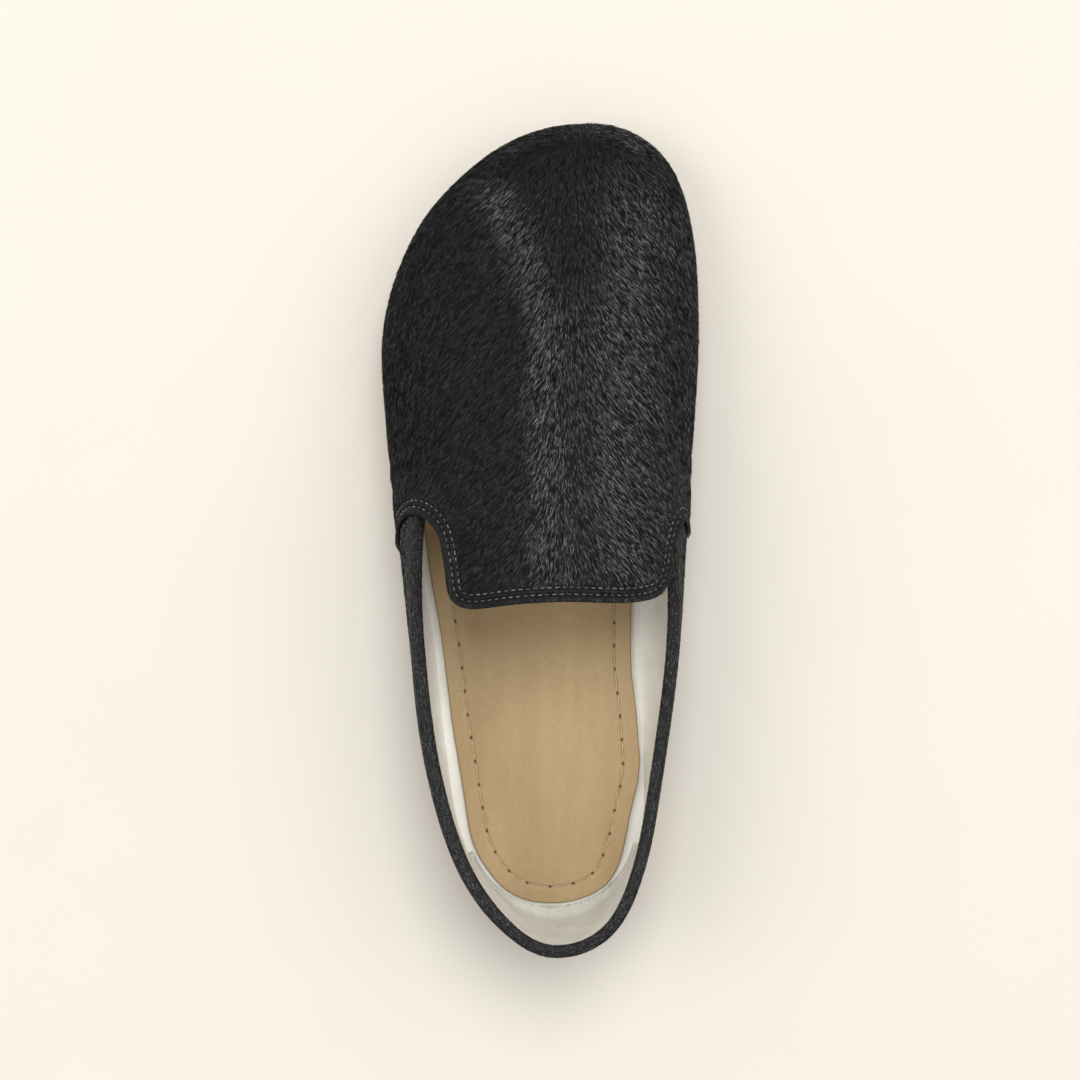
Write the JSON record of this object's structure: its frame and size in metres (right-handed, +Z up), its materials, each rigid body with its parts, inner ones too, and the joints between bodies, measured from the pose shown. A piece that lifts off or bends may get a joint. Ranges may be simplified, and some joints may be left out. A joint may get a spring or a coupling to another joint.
{
  "type": "barefoot slip-on shoe",
  "caption": "Left foot slip-on shoe with a foot-shaped toe, hair-on hide upper, squared tongue tab, folded collar strip and thin flat hide sole with a copper rivet.",
  "frame": {"origin": "middle of the shoe's length and width, on the floor", "axes": "+Y towards the toe, +X towards the inner side of the left foot, +Z up"},
  "size_m": [0.0998, 0.2584, 0.0689],
  "materials": {
    "sole_hide": "napped tan hide with a smooth border",
    "insole_leather": "smooth beige leather",
    "haired_hide": "short black hair with a soft sheen",
    "copper": "polished copper"
  },
  "bodies": {
    "root": {"outsole": "sole_hide", "insole": "insole_leather", "upper": "haired_hide", "collar_strip": "haired_hide", "rivet": "copper", "rivet_washer": "copper"}
  },
  "joints": []
}
